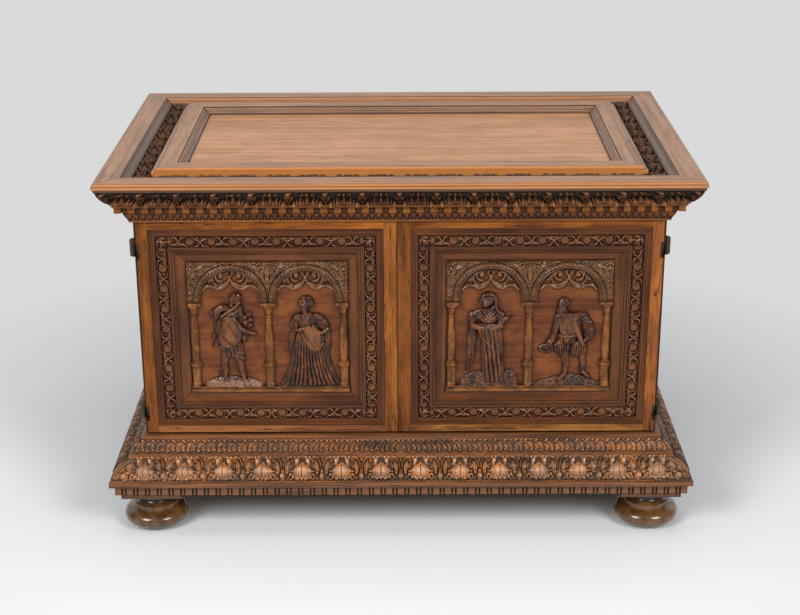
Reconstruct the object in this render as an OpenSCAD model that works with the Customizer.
// Two-door table cabinet with a moulded cornice, arcaded door panels and bun feet.
// Frame: origin on the floor under the middle of the cabinet, +Z up, the doors face -Y.

/* [Cornice] */
// How far the edge of the top stands out beyond the side boards
cornice_out_x = 33; // [30:0.5:40]
// How far the edge of the top stands out beyond the doors and the back
cornice_out_y = 35; // [32:0.5:42]
// Thickness of the top border boards
border_t = 9.3; // [8:0.1:12]
// Width of the top border boards with their reeding
border_w = 35.5; // [33:0.5:40]
// Width of the sunk carved band on the top
band_w = 19.5; // [16:0.5:24]
// Width of the raised frame on the top
top_frame_w = 34; // [30:0.5:40]
// How far the raised frame stands above the border
top_frame_rise = 1.2; // [0.5:0.1:3]
// Depth of the top panel below the raised frame
top_panel_drop = 8.2; // [7:0.1:9]
// Height of the crown moulding
crown_h = 21.4; // [18:0.1:24]
// Thickness of the board between the crown mouldings
top_board_t = 22; // [18:0.1:23]
// Height of the cornice dentils
dentil_h = 6.4; // [5:0.1:9]
// Spacing of the cornice dentils
dentil_pitch = 14.56; // [12:0.01:20]
// Depth of the gaps between the cornice dentils
dentil_depth = 4; // [2:0.1:5]

/* [Body] */
// Width over the side boards
body_w = 574; // [520:1:620]
// Depth from the door fronts to the back
body_d = 342; // [300:1:380]
// Height between the base and the cornice
body_h = 250; // [220:1:300]
// Thickness of the side boards
side_t = 14; // [13.5:0.5:20]
// Thickness of the ceiling board
ceiling_t = 13.9; // [12:0.1:18]
// Thickness of the floor board
floor_t = 12; // [8:0.5:16]
// Thickness of the back panel
back_t = 8; // [5:0.5:12]
// Depth of the rebate that holds the back panel
back_rebate = 6; // [3:0.5:8]
// Thickness of the shelf
shelf_t = 12; // [8:0.5:16]
// Height of the shelf above the floor board
shelf_z = 122; // [80:1:140]
// Depth of the grooves that hold the shelf
shelf_groove = 3; // [2:0.5:5]
// Distance of the shelf front behind the doors
shelf_setback = 14; // [5:1:40]

/* [Base] */
// How far the base moulding stands out beyond the side boards
base_out_x = 36.5; // [34:0.5:44]
// How far the base moulding stands out beyond the doors and the back
base_out_y = 37; // [34:0.5:44]
// Height of the base moulding
base_h = 48.3; // [44:0.1:52]
// Width of the base moulding's flat top inside its edge
base_rail_top = 25; // [22:0.5:30]
// Height of the base dentils
base_dentil_h = 11.2; // [8:0.1:14]
// Spacing of the base dentils
base_dentil_pitch = 13; // [11:0.1:18]
// Spacing of the carved shells along the base
shell_pitch = 43.6; // [36:0.2:56]
// Width of a carved shell
shell_w = 22; // [16:0.5:26]
// How far the carving stands out from the base's big roll
carving_rise = 2.8; // [1.5:0.1:4]
// Width and depth of a foot pad
pad_w = 67; // [62:1:72]
// Height of a foot pad
pad_h = 7.5; // [6:0.5:10]
// Distance of the foot centres from the edges of the base
foot_inset = 44.4; // [40:0.1:48]
// Radius of a bun foot
bun_r = 36; // [32:0.5:38]
// Height of a bun foot's ball
bun_h = 26; // [22:0.5:32]
// Height of the ball's widest part above the floor
bun_mid = 12.5; // [10:0.5:14]
// Height of the neck above the bun
neck_h = 17.5; // [13:0.5:22]
// Radius of the foot's tenon
tenon_r = 9; // [6:0.5:12]
// Length of the tenon inside the base moulding
tenon_len = 12; // [8:0.5:20]

/* [Doors] */
// Thickness of a door
door_t = 16.4; // [15:0.1:20]
// Distance of the door edges inside the side boards
door_inset = 3; // [2:0.1:5]
// Place of the line where the doors meet
meeting_x = -3; // [-8:0.5:8]
// Gap between the doors
meeting_gap = 0.8; // [0.6:0.1:2]
// Gap under the doors
door_gap_low = 3; // [1:0.1:5]
// Gap above the doors
door_gap_high = 1; // [0.6:0.1:3]
// Gap between the doors and the side boards behind them
door_back_gap = 0.6; // [0.4:0.1:1]
// Width of the plain face of a stile
stile_w = 14; // [10:0.5:18]
// Width of the plain face of a rail
rail_w = 8; // [6:0.5:14]
// Width of the reeding round the carved border
reed_w = 7; // [5:0.5:9]
// Width of the carved border
carved_w = 15; // [12:0.5:18]
// Width of the inner moulding
inner_w = 17; // [14:0.5:20]
// Depth of the relief panel's ground behind the door front
panel_sink = 9; // [8.5:0.1:10]
// Thickness of the relief panel
panel_t = 4; // [3:0.1:5]

/* [Arcade] */
// Distance of the outer columns from the panel's edges
column_edge = 5.6; // [5:0.1:8]
// Width of the arch ring
arch_w = 6; // [4:0.5:8]
// Gap between the wider door's arches and the inner moulding above them
arch_margin = 1.65; // [1:0.05:6]
// Height of the straight jambs under the arches
arch_stilt = 4; // [2:0.5:8]
// Height of the lower ledge
ledge_h = 5.5; // [4:0.5:8]
// Height of the column pedestals above the ledge
pedestal_h = 29; // [20:1:34]
// Radius of a column shaft at its widest
shaft_r = 4.6; // [3.5:0.1:5]

/* [Hinges] */
// Height of a hinge
hinge_h = 18; // [14:0.5:24]
// Radius of the hinge knuckles
knuckle_r = 3.65; // [3:0.05:4]
// Radius of the hinge pins
pin_r = 1.5; // [1:0.05:2]
// Clearance round the hinge pins
pin_play = 0.05; // [0.02:0.01:0.1]
// Gap between neighbouring knuckles
knuckle_gap = 0.4; // [0.35:0.05:0.6]
// Thickness of a hinge leaf
leaf_t = 1.2; // [0.8:0.1:1.5]
// Width of a hinge leaf
leaf_w = 10; // [8:0.5:11]
// Distance of the hinge pins outside the side boards
pin_out = 1.4; // [1:0.1:2]
// Height of the lower hinge above the base
low_hinge_z = 25; // [16:1:60]
// Distance of the upper hinge below the cornice
high_hinge_z = 34.4; // [16:0.1:60]
// Depth of the notch in a stile beside a hinge
notch_w = 5; // [4.5:0.1:6]

/* [Hidden] */
$fn = 64;
eps = 0.01;

// Width of a mitre joint, measured along the moulding
mitre_gap = 0.12;

// Width and depth over the edges of the cornice and of the base
cornice_w = body_w + 2 * cornice_out_x;
cornice_d = body_d + 2 * cornice_out_y;
base_w = body_w + 2 * base_out_x;
base_d = body_d + 2 * base_out_y;

// Levels from the floor up
pad_z = bun_h + neck_h;
base_dentil_z = pad_z + pad_h;
base_z = base_dentil_z + base_dentil_h;
body_z = base_z + base_h;
cornice_z = body_z + body_h;
dentil_z = cornice_z + ceiling_t;
crown_z = dentil_z + dentil_h;
border_z = crown_z + crown_h;
border_top = border_z + border_t;
frame_top = border_top + top_frame_rise;
panel_top = frame_top - top_panel_drop;
top_board_z = dentil_z + top_board_t;

// Cornice insets, measured inwards from the edge of the top
bed_in = cornice_out_x;
bed_foot = bed_in - 1;
bed_head = bed_foot - 6;
bed_fillet = 2;
dentil_face = bed_head - 6.6;
dentil_frac = 0.5;
crown_fillet = 3.4;
crown_fillet_in = dentil_face - 2;
crown_low = crown_fillet_in - 2;
crown_high = 2.25;
crown_bulge = 1.3;
frame_in = border_w + band_w;
panel_in = frame_in + top_frame_w;
frame_reed_w = 9;
band_top = border_top - 7.5;
frame_lip = 1;
border_nose = 1;
border_nose_z = 2.8;
border_nose_h = 3.2;
border_round = 2.8;
joint_in = 8.5;
joint_depth = 0.7;
cove_in = 3.2;
cove_drop = 4.6;
border_reed_drop = 6.6;
frame_step = 4.6;
frame_quirk = 0.6;
frame_cove = 3.2;
frame_round = 6;
frame_edge = 0.8;

// Base insets, measured inwards from the edge of the base, its carving and the feet's rounding
base_top_in = base_out_x - 0.2;
small_high = base_top_in - 3;
small_low = small_high - 10;
small_h = 11.4;
small_bulge = 1.6;
mid_fillet = 3.4;
ovolo_high = small_low - 3;
ovolo_low = 2.3;
ovolo_top = 28.5;
ovolo_bulge = 4.2;
edge_fillet = 5.9;
floor_ledge = 8;
bun_side_r = 8.5;
bun_flat = 1;
shell_end = 18.5;
shell_low = 2;
drop_w = 6;
drop_low = 2.5;
bud_w = 7;
corner_leaf_w = 7;
carving_room = 12;
base_dentil_in = 5.3;
base_rail_w = base_out_x + base_rail_top;
base_slot = 3;
base_slot_w = 2;
base_reed_w = 2;

// Doors
front_y = -body_d / 2;
door_back_y = front_y + door_t;
side_front_y = door_back_y + door_back_gap;
door_z = body_z + door_gap_low;
door_h = body_h - door_gap_low - door_gap_high;
stop = 5;
left_lo = -body_w / 2 + door_inset;
left_hi = meeting_x - meeting_gap / 2;
right_lo = meeting_x + meeting_gap / 2;
right_hi = body_w / 2 - door_inset;
stile_full = stile_w + reed_w + carved_w;
rail_full = rail_w + reed_w + carved_w;

// Hinges
pin_x = body_w / 2 + pin_out;
pin_y = (door_back_y + side_front_y) / 2;
low_hinge = body_z + low_hinge_z;
high_hinge = cornice_z - high_hinge_z;
third = hinge_h / 3;
knuckle_room = knuckle_r + 0.4;
pin_head_r = 2.6;
pin_head_h = 1.5;
shelf_front = side_front_y + shelf_setback;
shelf_low = body_z + shelf_z;

// Points along a circular arc from a to b; the sag is positive to the left of the way
function arc(a, b, sag, n) =
  let (
    c = b - a,
    len = norm(c),
    r = (len * len / 4 + sag * sag) / (2 * abs(sag)),
    half = asin(min(1, len / (2 * r))),
    up = [-c[1], c[0]] / len * sign(sag),
    o = (a + b) / 2 - up * (r - abs(sag)),
    along = c / len
  )
  [for (i = [0:n]) let (t = -half + 2 * half * i / n) o + up * r * cos(t) + along * r * sin(t)];

// A row of round reeds from s0 to s1 with their feet at h0 and h1
function reeds(s0, s1, h0, h1, count, rise) =
  [for (k = [0:count - 1])
    let (a = k / count, b = (k + 1) / count)
    each arc([s0 + (s1 - s0) * a, h0 + (h1 - h0) * a],
      [s0 + (s1 - s0) * b, h0 + (h1 - h0) * b], rise, 4)];

// Straight moulding of one side, mitred at both ends; the profile is [inset, height]
module mitred(len, dist, run, low, high, profile) {
  half = len / 2 - mitre_gap / 2;
  intersection() {
    translate([-len / 2, -dist, 0]) rotate([90, 0, 90]) linear_extrude(len) polygon(profile);
    translate([0, 0, low - 1]) linear_extrude(high - low + 2)
      polygon([[-half, -dist], [half, -dist], [half - run, -dist + run],
        [-half + run, -dist + run]]);
  }
}

// One side of a mitred ring, turned by a quarter for each number: front, right, back, left
module ring_side(i, w, d, run, low, high, profile) {
  len = i % 2 == 0 ? w : d;
  dist = (i % 2 == 0 ? d : w) / 2;
  rotate([0, 0, 90 * i]) mitred(len, dist, run, low, high, profile);
}

module ring(w, d, run, low, high, profile) {
  for (i = [0:3]) ring_side(i, w, d, run, low, high, profile);
}

// Plan of a toothed strip along X: teeth at the face, gaps behind it, mitred at both ends
function comb(len, face, back, depth, pitch, share) =
  let (
    run = len - 2 * face,
    n = max(3, round((run - pitch * share) / pitch)),
    step = (run - pitch * share) / n,
    tooth = pitch * share
  )
  concat(
    [[-len / 2 + face + mitre_gap / 2, face]],
    [for (k = [0:n - 1])
      let (x = -run / 2 + tooth + k * step)
      each [[x, face], [x, face + depth], [x + step - tooth, face + depth],
        [x + step - tooth, face]]],
    [[len / 2 - face - mitre_gap / 2, face], [len / 2 - back - mitre_gap / 2, back],
      [-len / 2 + back + mitre_gap / 2, back]]
  );

// Feet and base

// Half of a flattened ball: a wide arc of the given rise that runs into the round side
module ball_half(rise) {
  side_in = bun_r - bun_side_r;
  cap_r = (side_in * side_in + rise * rise - bun_side_r * bun_side_r) / (2 * (rise - bun_side_r));
  intersection() {
    translate([0, rise - cap_r]) circle(cap_r);
    square([side_in * cap_r / (cap_r - bun_side_r), rise]);
  }
}

// A flattened ball under a hollowed neck, with the tenon that holds the foot
module foot(sx, sy) {
  collar_r = bun_r * 0.69;
  neck_r = bun_r * 0.5;
  hollow_r = collar_r + 1 - neck_r;
  hollow_z = bun_h + neck_h * 0.54;
  color("#5f4620") translate([sx * (base_w / 2 - foot_inset), sy * (base_d / 2 - foot_inset), 0]) {
    rotate_extrude() {
      translate([0, bun_mid]) {
        ball_half(bun_h - bun_mid);
        intersection() {
          mirror([0, 1]) ball_half(bun_mid + bun_flat);
          translate([0, -bun_mid]) square([bun_r, bun_mid]);
        }
        translate([bun_r - bun_side_r, 0]) circle(bun_side_r);
      }
      difference() {
        translate([0, bun_mid]) square([collar_r, pad_z - bun_mid]);
        translate([collar_r + 1, hollow_z]) circle(hollow_r);
        translate([neck_r, hollow_z]) square([bun_r, neck_h]);
      }
    }
    cylinder(r = tenon_r, h = base_z + tenon_len);
  }
}

module tenon_holes() {
  for (sx = [-1, 1], sy = [-1, 1])
    translate([sx * (base_w / 2 - foot_inset), sy * (base_d / 2 - foot_inset), 0])
      cylinder(r = tenon_r + pin_play, h = base_z + tenon_len + pin_play);
}

module foot_pads() {
  step_h = 3;
  step_w = 1.5;
  neat = pad_w - 2 * step_w;
  color("#4a3226") difference() {
    for (sx = [-1, 1], sy = [-1, 1])
      translate([sx * (base_w / 2 - foot_inset), sy * (base_d / 2 - foot_inset), pad_z]) {
        translate([-pad_w / 2, -pad_w / 2, 0]) cube([pad_w, pad_w, pad_h - step_h]);
        translate([-neat / 2, -neat / 2, 0]) cube([neat, neat, pad_h]);
      }
    tenon_holes();
  }
}

// Toothed strips with a thin reed standing in each gap
module base_dentils() {
  back = base_rail_w;
  color("#4d3222") difference() {
    for (i = [0:3]) {
      len = i % 2 == 0 ? base_w : base_d;
      dist = (i % 2 == 0 ? base_d : base_w) / 2;
      tooth = base_dentil_pitch - base_slot_w * 2 - base_reed_w;
      run = len - 2 * base_dentil_in;
      n = round((run - tooth) / base_dentil_pitch);
      step = (run - tooth) / n;
      rotate([0, 0, 90 * i]) translate([0, -dist, base_dentil_z]) linear_extrude(base_dentil_h) {
        polygon(comb(len, base_dentil_in, back, base_slot, base_dentil_pitch,
          tooth / base_dentil_pitch));
        for (k = [0:n - 1])
          translate([-run / 2 + tooth + k * step + (step - tooth - base_reed_w) / 2,
            base_dentil_in + 0.6])
            square([base_reed_w, base_slot]);
      }
    }
    tenon_holes();
  }
}

// Lower and upper end of the base's big roll
roll_foot = [ovolo_low, edge_fillet + 1];
roll_head = [ovolo_high, ovolo_top];

base_profile = concat(
  [[base_rail_w + floor_ledge, 0], [0, 0], [0, edge_fillet], [ovolo_low, edge_fillet]],
  arc(roll_foot, roll_head, ovolo_bulge, 8),
  [[ovolo_high, ovolo_top + mid_fillet], [small_low, ovolo_top + mid_fillet]],
  arc([small_low, ovolo_top + mid_fillet], [small_high, ovolo_top + mid_fillet + small_h],
    small_bulge, 4),
  [[small_high, base_h - 1], [base_top_in, base_h], [base_rail_w, base_h],
    [base_rail_w, base_h - floor_t], [base_rail_w + floor_ledge, base_h - floor_t]]
);

// The big roll's slope: its foot and head, its length and its tilt
roll_len = norm(roll_head - roll_foot);
roll_tilt = atan2(roll_head[1] - roll_foot[1], roll_head[0] - roll_foot[0]);

// Outlines on the slope, as [along the moulding, up the roll]; a shell is wide at its foot
shell_outline = let (h = roll_len * 0.62)
  [for (k = [0:9]) let (a = 36 * k)
    [shell_w / 2 * sin(a) * (1 + 0.2 * cos(a)), shell_low + h / 2 * (1 - cos(a))]];
drop_outline = [[0, drop_low], [drop_w / 2, roll_len * 0.25], [drop_w / 6, roll_len * 0.55],
  [drop_w / 2, roll_len - 1], [-drop_w / 2, roll_len - 1], [-drop_w / 6, roll_len * 0.55],
  [-drop_w / 2, roll_len * 0.25]];
bud_outline = [[0, roll_len * 0.68], [bud_w / 2, roll_len * 0.86], [bud_w / 3, roll_len - 0.6],
  [-bud_w / 3, roll_len - 0.6], [-bud_w / 2, roll_len * 0.86]];

// Shells, paired buds and drops standing on the roll of one side, with a leaf at each mitre
module roll_carving(i) {
  len = i % 2 == 0 ? base_w : base_d;
  dist = (i % 2 == 0 ? base_d : base_w) / 2;
  run = len - 2 * shell_end;
  n = round(run / shell_pitch);
  step = run / n;
  end_low = len / 2 - ovolo_low;
  end_high = len / 2 - ovolo_high;
  rotate([0, 0, 90 * i]) intersection() {
    mitred(len, dist, base_rail_w, 0, base_h,
      arc(roll_foot, roll_head, ovolo_bulge + carving_rise, 6));
    translate([0, -dist + roll_foot[0], roll_foot[1]]) rotate([roll_tilt, 0, 0])
      linear_extrude(carving_room) {
        for (k = [0:n - 1]) translate([-run / 2 + (k + 0.5) * step, 0]) {
          polygon(shell_outline);
          translate([-bud_w * 0.9, 0]) polygon(bud_outline);
          translate([bud_w * 0.9, 0]) polygon(bud_outline);
        }
        for (k = [1:n - 1]) translate([-run / 2 + k * step, 0]) polygon(drop_outline);
        for (s = [-1, 1])
          polygon([[s * end_low, 1], [s * (end_low - corner_leaf_w), roll_len * 0.3],
            [s * (end_high - corner_leaf_w), roll_len * 0.8], [s * end_high, roll_len - 1]]);
      }
  }
}

module base_moulding(i) {
  color("#6b4429") difference() {
    translate([0, 0, base_z]) {
      ring_side(i, base_w, base_d, base_rail_w + floor_ledge, 0, base_h, base_profile);
      roll_carving(i);
    }
    tenon_holes();
  }
}

// Carcase boards

module floor_board() {
  w = base_w - 2 * base_rail_w;
  d = base_d - 2 * base_rail_w;
  color("#7a5232") translate([-w / 2, -d / 2, body_z - floor_t]) cube([w, d, floor_t]);
}

module side_board(s) {
  color("#7c4c2a") difference() {
    mirror([s < 0 ? 1 : 0, 0, 0]) translate([body_w / 2 - side_t, side_front_y, body_z])
      cube([side_t, body_d / 2 - side_front_y, body_h]);
    mirror([s < 0 ? 1 : 0, 0, 0]) {
      translate([body_w / 2 - side_t - 1, body_d / 2 - back_t, body_z - 1])
        cube([back_rebate + 1, back_t + 1, body_h + 2]);
      translate([body_w / 2 - side_t - 1, shelf_front, shelf_low])
        cube([shelf_groove + 1, body_d / 2 - shelf_front - back_t + eps, shelf_t]);
      for (z = [low_hinge, high_hinge]) {
        translate([pin_x, pin_y, z - hinge_h / 2 - pin_head_h - knuckle_gap])
          cylinder(r = knuckle_room, h = hinge_h + 2 * pin_head_h + 2 * knuckle_gap);
        translate([pin_x - knuckle_r - leaf_w, side_front_y - 1, z - hinge_h / 2])
          cube([leaf_w + knuckle_r, leaf_t + 1, hinge_h]);
      }
    }
  }
}

module back_panel() {
  w = body_w - 2 * side_t + 2 * back_rebate;
  color("#6e4a2e") translate([-w / 2, body_d / 2 - back_t, body_z]) cube([w, back_t, body_h]);
}

module shelf() {
  w = body_w - 2 * side_t + 2 * shelf_groove;
  color("#7a5232") translate([-w / 2, shelf_front, shelf_low])
    cube([w, body_d / 2 - back_t - shelf_front, shelf_t]);
}

module ceiling_board() {
  w = cornice_w - 2 * bed_in;
  d = cornice_d - 2 * bed_in;
  color("#7a5232") translate([-w / 2, -d / 2, cornice_z]) cube([w, d, ceiling_t]);
}

// Cornice

bed_profile = concat(
  [[bed_in, 0], [bed_foot, 0], [bed_foot, bed_fillet]],
  arc([bed_foot - 0.6, bed_fillet], [bed_head, ceiling_t - 1], -1.2, 5),
  [[bed_head, ceiling_t], [bed_in, ceiling_t]]
);

module bed_moulding() {
  color("#5a3b2a") translate([0, 0, cornice_z])
    ring(cornice_w, cornice_d, bed_in, 0, ceiling_t, bed_profile);
}

module cornice_dentils() {
  color("#9a6a2c") for (i = [0:3]) {
    len = i % 2 == 0 ? cornice_w : cornice_d;
    dist = (i % 2 == 0 ? cornice_d : cornice_w) / 2;
    rotate([0, 0, 90 * i]) translate([0, -dist, dentil_z]) linear_extrude(dentil_h)
      polygon(comb(len, dentil_face, border_w, dentil_depth, dentil_pitch, dentil_frac));
  }
}

crown_profile = concat(
  [[border_w, 0], [crown_fillet_in, 0], [crown_fillet_in, crown_fillet]],
  arc([crown_low, crown_fillet], [crown_high, crown_h], crown_bulge, 6),
  [[border_w, crown_h]]
);

module crown(i) {
  color("#5c3a28") translate([0, 0, crown_z])
    ring_side(i, cornice_w, cornice_d, border_w, 0, crown_h, crown_profile);
}

module top_board() {
  w = cornice_w - 2 * border_w;
  d = cornice_d - 2 * border_w;
  color("#7a5232") translate([-w / 2, -d / 2, dentil_z]) cube([w, d, top_board_t]);
}

// A slanted foot, a bead and a rounded upper edge, then a joint line, a cove and fine reeds
border_profile = concat(
  [[border_w, 0], [crown_high, 0], [crown_high - 0.5, border_nose_z - 0.2]],
  arc([border_nose, border_nose_z], [border_nose, border_nose_z + border_nose_h], border_nose, 4),
  arc([border_nose - 0.1, border_nose_z + border_nose_h + 0.4], [border_round, border_t], 0.9, 5),
  [[border_w - joint_in, border_t], [border_w - joint_in + 0.1, border_t - joint_depth]],
  arc([border_w - joint_in + 0.5, border_t - joint_depth],
    [border_w - cove_in, border_t - cove_drop], -0.9, 5),
  reeds(border_w - cove_in, border_w, border_t - cove_drop, border_t - border_reed_drop, 3, 0.35)
);

module top_border(i) {
  color("#8a6248") translate([0, 0, border_z])
    ring_side(i, cornice_w, cornice_d, border_w, 0, border_t, border_profile);
}

module top_carved_band() {
  h = band_top - top_board_z;
  color("#4c372c") translate([0, 0, top_board_z])
    ring(cornice_w - 2 * border_w, cornice_d - 2 * border_w, band_w, 0, h,
      [[0, 0], [band_w, 0], [band_w, h], [0, h]]);
}

top_frame_h = frame_top - top_board_z;
top_frame_profile = concat(
  [[top_frame_w - frame_reed_w, 0], [0, 0], [0, top_frame_h - frame_step],
    [frame_cove, top_frame_h - frame_step], [frame_cove, top_frame_h - frame_step - frame_quirk],
    [frame_cove + frame_quirk, top_frame_h - frame_step - frame_quirk]],
  arc([frame_cove + frame_quirk, top_frame_h - frame_step + 1.2], [frame_round, top_frame_h], 1, 4),
  [[top_frame_w - frame_reed_w, top_frame_h],
    [top_frame_w - frame_reed_w, top_frame_h - frame_edge]],
  reeds(top_frame_w - frame_reed_w, top_frame_w - frame_quirk, top_frame_h - frame_edge - 0.4,
    top_frame_h - top_panel_drop + frame_lip, 4, 0.5),
  [[top_frame_w, top_frame_h - top_panel_drop + frame_lip],
    [top_frame_w, top_frame_h - top_panel_drop],
    [top_frame_w - frame_reed_w, top_frame_h - top_panel_drop]]
);

module top_frame() {
  color("#93674a") translate([0, 0, top_board_z])
    ring(cornice_w - 2 * frame_in, cornice_d - 2 * frame_in, top_frame_w, 0, top_frame_h,
      top_frame_profile);
}

module top_panel() {
  w = cornice_w - 2 * (panel_in - frame_reed_w);
  d = cornice_d - 2 * (panel_in - frame_reed_w);
  color("#a5764f") translate([-w / 2, -d / 2, top_board_z])
    cube([w, d, panel_top - top_board_z]);
}

// Hinges: the carcase leaves hold the outer knuckles and the door leaves the middle one

module hinge_leaf_carcase(z) {
  translate([0, 0, z - hinge_h / 2]) difference() {
    union() {
      translate([pin_x - knuckle_r - leaf_w, side_front_y, 0])
        cube([leaf_w + knuckle_r, leaf_t, hinge_h]);
      translate([pin_x, pin_y, 0]) cylinder(r = knuckle_r, h = hinge_h);
    }
    translate([pin_x, pin_y, -1]) cylinder(r = pin_r + pin_play, h = hinge_h + 2);
    translate([pin_x, pin_y, third]) cylinder(r = knuckle_room, h = third);
  }
}

module hinge_leaves(s) {
  color("#2e2a26") mirror([s < 0 ? 1 : 0, 0, 0])
    for (z = [low_hinge, high_hinge]) hinge_leaf_carcase(z);
}

module hinge_leaf_door(z) {
  difference() {
    union() {
      translate([pin_x - knuckle_room - leaf_w, door_back_y - leaf_t, z - hinge_h / 2])
        cube([leaf_w, leaf_t, hinge_h]);
      translate([pin_x - knuckle_room - eps, door_back_y - leaf_t,
        z - third / 2 + knuckle_gap])
        cube([knuckle_room - pin_r - 1, leaf_t, third - 2 * knuckle_gap]);
      translate([pin_x, pin_y, z - third / 2 + knuckle_gap])
        cylinder(r = knuckle_r, h = third - 2 * knuckle_gap);
    }
    translate([pin_x, pin_y, z - hinge_h]) cylinder(r = pin_r + pin_play, h = 2 * hinge_h);
  }
}

module door_hinge_leaves(s) {
  color("#35302a") mirror([s < 0 ? 1 : 0, 0, 0])
    for (z = [low_hinge, high_hinge]) hinge_leaf_door(z);
}

module hinge_pins(s) {
  color("#453c2e") mirror([s < 0 ? 1 : 0, 0, 0])
    for (z = [low_hinge, high_hinge]) translate([pin_x, pin_y, z]) {
      cylinder(r = pin_r, h = hinge_h + 2 * eps, center = true);
      for (m = [0, 1]) mirror([0, 0, m]) translate([0, 0, hinge_h / 2])
        cylinder(r1 = pin_head_r, r2 = pin_r, h = pin_head_h);
    }
}

// Doors: lo and hi are the door's edges along X, and hinge_at_lo says which one is hinged

module door_frame(lo, hi) {
  // Plane of the door's face with X along the door and Y up, opening towards the front
  translate([(lo + hi) / 2, front_y, door_z + door_h / 2]) rotate([90, 0, 0]) children();
}

module stile_plan(w, hinged) {
  difference() {
    linear_extrude(door_h) polygon([[0, 0], [stile_w, 0], [stile_w, stop], [stile_full, stop],
      [stile_full, door_t], [0, door_t]]);
    if (hinged) for (z = [low_hinge, high_hinge]) {
      translate([-1, -1, z - door_z - hinge_h / 2 - knuckle_gap])
        cube([notch_w + 1, door_t + 2, hinge_h + 2 * knuckle_gap]);
      translate([-1, door_t - leaf_t, z - door_z - hinge_h / 2])
        cube([1 + knuckle_room + leaf_w - door_inset - pin_out, leaf_t + 1, hinge_h]);
    }
  }
}

module stile(lo, hi, at_lo, hinged) {
  color("#8a5227") translate([at_lo ? lo : hi, front_y, door_z])
    mirror([at_lo ? 0 : 1, 0, 0]) stile_plan(stile_full, hinged);
}

// A rail's face runs over the stiles' rebated parts, and its body stands between them
module rail(lo, hi, upper) {
  color("#96591f") translate([0, front_y, upper ? door_z + door_h : door_z])
    mirror([0, 0, upper ? 1 : 0]) {
      translate([lo + stile_w, 0, 0]) cube([hi - lo - 2 * stile_w, stop, rail_w]);
      translate([lo + stile_full, stop, 0])
        cube([hi - lo - 2 * stile_full, door_t - stop, rail_full]);
    }
}

reeding_profile = concat([[0, 0]], reeds(0, reed_w, stop - 1.2, stop - 0.9, 4, 0.6),
  [[reed_w, 0]]);

module reeding(lo, hi) {
  w = hi - lo - 2 * stile_w;
  h = door_h - 2 * rail_w;
  color("#5d3820") door_frame(lo, hi) translate([0, 0, -stop])
    ring(w, h, reed_w, 0, stop, reeding_profile);
}

carved_edge = 1.1;
carved_ground = 2.2;
carved_profile = [[0, 0], [0, stop - 0.9], [carved_edge, stop - 0.9], [carved_edge, carved_ground],
  [carved_w - carved_edge, carved_ground], [carved_w - carved_edge, stop - 0.9],
  [carved_w, stop - 0.9], [carved_w, 0]];

module carved_border(lo, hi) {
  w = hi - lo - 2 * (stile_w + reed_w);
  h = door_h - 2 * (rail_w + reed_w);
  color("#6b4022") door_frame(lo, hi) translate([0, 0, -stop])
    ring(w, h, carved_w, 0, stop, carved_profile);
}

inner_profile = concat(
  [[0, 0], [0, panel_sink - 1], [2, panel_sink - 1], [2, panel_sink - 1.8]],
  arc([2.6, panel_sink - 1.4], [5.4, panel_sink - 2.6], 0.7, 4),
  [[5.6, panel_sink - 3.2]],
  arc([6, panel_sink - 3.2], [inner_w - 3, 2.4], -1.1, 5),
  [[inner_w - 2.4, 2.4]],
  arc([inner_w - 2.2, 2.2], [inner_w, 0.9], 0.5, 3),
  [[inner_w, 0]]
);

module inner_moulding(lo, hi) {
  color("#57301f") door_frame(lo, hi) translate([0, 0, -panel_sink])
    ring(hi - lo - 2 * stile_full, door_h - 2 * rail_full, inner_w, 0, panel_sink,
      inner_profile);
}

module relief_panel(lo, hi) {
  w = hi - lo - 2 * stile_full;
  h = door_h - 2 * rail_full;
  color("#7a3f22") door_frame(lo, hi) translate([-w / 2, -h / 2, -panel_sink - panel_t])
    cube([w, h, panel_t]);
}

// The arcade stands on the relief panel's ground, between the inner mouldings
arch_t = 4;
arch_step_t = 0.9;
arch_step_w = 1.2;
spandrel_t = 2.4;
abacus_w = 15.6;
abacus_h = 3;
capital_h = 7;
necking_h = 10;
cap_h = 5;
arch_apart = 1;
function sight_w(lo, hi) = hi - lo - 2 * (stile_full + inner_w);
function column_x(lo, hi) = sight_w(lo, hi) / 2 - column_edge;
function arch_r(lo, hi) = column_x(lo, hi) / 2 - arch_apart;
sight_h = door_h - 2 * (rail_full + inner_w);
arch_z = sight_h - arch_margin - max(arch_r(left_lo, left_hi), arch_r(right_lo, right_hi));
capital_z = arch_z - arch_stilt;

module on_panel(lo, hi) {
  translate([(lo + hi) / 2, front_y + panel_sink, door_z + (door_h - sight_h) / 2])
    rotate([90, 0, 0]) children();
}

// A round arch on straight jambs that end at the height low
module arch_shape(r, low) {
  intersection() {
    union() {
      circle(r);
      translate([-r, -r]) square([2 * r, r]);
    }
    translate([-r - 1, low]) square([2 * r + 2, r - low + 1]);
  }
}

module arcade(lo, hi) {
  w = sight_w(lo, hi);
  col = column_x(lo, hi);
  r = arch_r(lo, hi);
  head = sight_h - capital_z;
  low = -arch_stilt;
  color("#86662f") on_panel(lo, hi) {
    translate([0, arch_z, 0]) {
      linear_extrude(spandrel_t) difference() {
        translate([-w / 2, low]) square([w, head]);
        for (sx = [-1, 1]) translate([sx * col / 2, 0]) arch_shape(r - arch_w / 2, low - 1);
      }
      for (sx = [-1, 1]) translate([sx * col / 2, 0, 0]) {
        linear_extrude(arch_t) difference() {
          arch_shape(r, low);
          arch_shape(r - arch_w, low - 1);
        }
        linear_extrude(arch_t - arch_step_t) difference() {
          arch_shape(r - arch_w / 2, low);
          arch_shape(r - arch_w - arch_step_w, low - 1);
        }
      }
    }
    translate([-w / 2, 0, 0]) cube([w, ledge_h - 2, arch_t + 1.5]);
    translate([-w / 2, 0, 0]) cube([w, ledge_h, arch_t]);
  }
}

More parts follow.
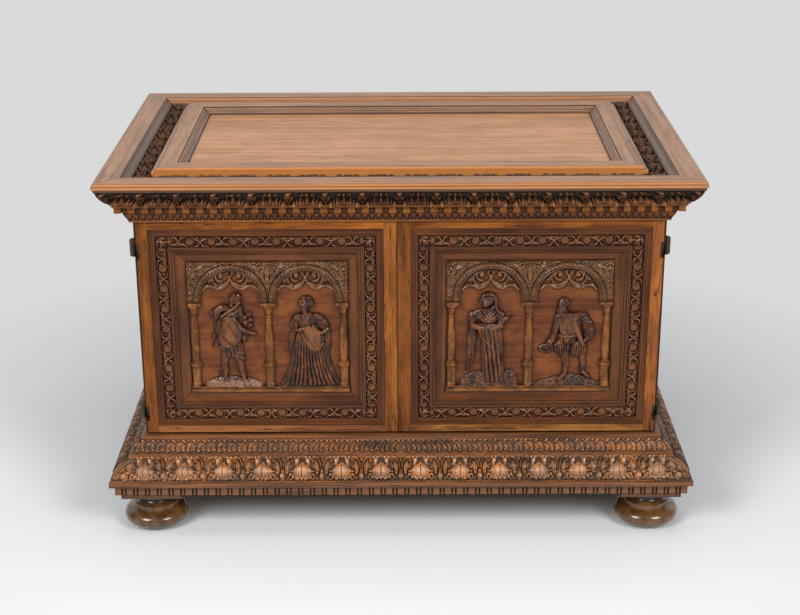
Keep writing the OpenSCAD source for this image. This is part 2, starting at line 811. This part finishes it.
// Half profile of a turned column: [radius, height above the ledge]
function column_profile(top) =
  let (foot = pedestal_h, neck = top - capital_h - necking_h)
  concat(
    [[0, 0], [5.6, 0], [5.6, 4], [5, 5], [5, foot - cap_h - 1], [5.4, foot - cap_h]],
    arc([5.6, foot - cap_h], [7, foot - 2.2], -0.5, 3),
    [[7, foot - 0.6], [5.2, foot], [5.2, foot + 1.6], [shaft_r - 0.7, foot + 2]],
    arc([shaft_r - 0.7, foot + 2], [shaft_r - 1.7, neck], -1.2, 8),
    [[shaft_r - 1.7, neck], [4.2, neck + 0.4], [4.2, neck + 1.8], [3, neck + 2.2]],
    arc([3, neck + 2.2], [4.2, top - capital_h], -0.5, 4),
    [[4.8, top - capital_h]],
    arc([4.8, top - capital_h + 0.5], [7, top - abacus_h], -0.8, 4),
    [[0, top - abacus_h]]
  );

module colonnettes(lo, hi) {
  w = sight_w(lo, hi);
  col = column_x(lo, hi);
  top = capital_z - ledge_h;
  abacus_d = 6;
  color("#9c7230") on_panel(lo, hi) intersection() {
    for (x = [-col, 0, col]) translate([x, ledge_h, 0]) {
      rotate([-90, 0, 0]) rotate([0, 0, 180]) rotate_extrude(angle = 180)
        polygon(column_profile(top));
      translate([-abacus_w / 2, top - abacus_h, 0]) cube([abacus_w, abacus_h, abacus_d]);
    }
    translate([-w / 2, 0, 0]) cube([w, sight_h, panel_sink]);
  }
}

foot(-1, -1);  // foot_front_left
foot(1, -1);  // foot_front_right
foot(-1, 1);  // foot_back_left
foot(1, 1);  // foot_back_right
foot_pads();
base_dentils();
base_moulding(0);  // base_moulding_front
base_moulding(1);  // base_moulding_right
base_moulding(2);  // base_moulding_back
base_moulding(3);  // base_moulding_left
floor_board();
side_board(-1);  // side_left
side_board(1);  // side_right
back_panel();
shelf();
ceiling_board();
bed_moulding();
cornice_dentils();
crown(0);  // crown_front
crown(1);  // crown_right
crown(2);  // crown_back
crown(3);  // crown_left
top_board();
top_border(0);  // top_border_front
top_border(1);  // top_border_right
top_border(2);  // top_border_back
top_border(3);  // top_border_left
top_carved_band();
top_frame();
top_panel();
hinge_leaves(-1);  // hinge_leaves_left
hinge_leaves(1);  // hinge_leaves_right
hinge_pins(-1);  // hinge_pins_left
hinge_pins(1);  // hinge_pins_right
stile(left_lo, left_hi, true, true);  // left_door_hinge_stile
stile(left_lo, left_hi, false, false);  // left_door_meeting_stile
rail(left_lo, left_hi, true);  // left_door_top_rail
rail(left_lo, left_hi, false);  // left_door_bottom_rail
reeding(left_lo, left_hi);  // left_door_reeding
carved_border(left_lo, left_hi);  // left_door_carved_border
inner_moulding(left_lo, left_hi);  // left_door_inner_moulding
relief_panel(left_lo, left_hi);  // left_door_relief_panel
arcade(left_lo, left_hi);  // left_door_arcade
colonnettes(left_lo, left_hi);  // left_door_colonnettes
door_hinge_leaves(-1);  // left_door_hinge_leaves
stile(right_lo, right_hi, false, true);  // right_door_hinge_stile
stile(right_lo, right_hi, true, false);  // right_door_meeting_stile
rail(right_lo, right_hi, true);  // right_door_top_rail
rail(right_lo, right_hi, false);  // right_door_bottom_rail
reeding(right_lo, right_hi);  // right_door_reeding
carved_border(right_lo, right_hi);  // right_door_carved_border
inner_moulding(right_lo, right_hi);  // right_door_inner_moulding
relief_panel(right_lo, right_hi);  // right_door_relief_panel
arcade(right_lo, right_hi);  // right_door_arcade
colonnettes(right_lo, right_hi);  // right_door_colonnettes
door_hinge_leaves(1);  // right_door_hinge_leaves
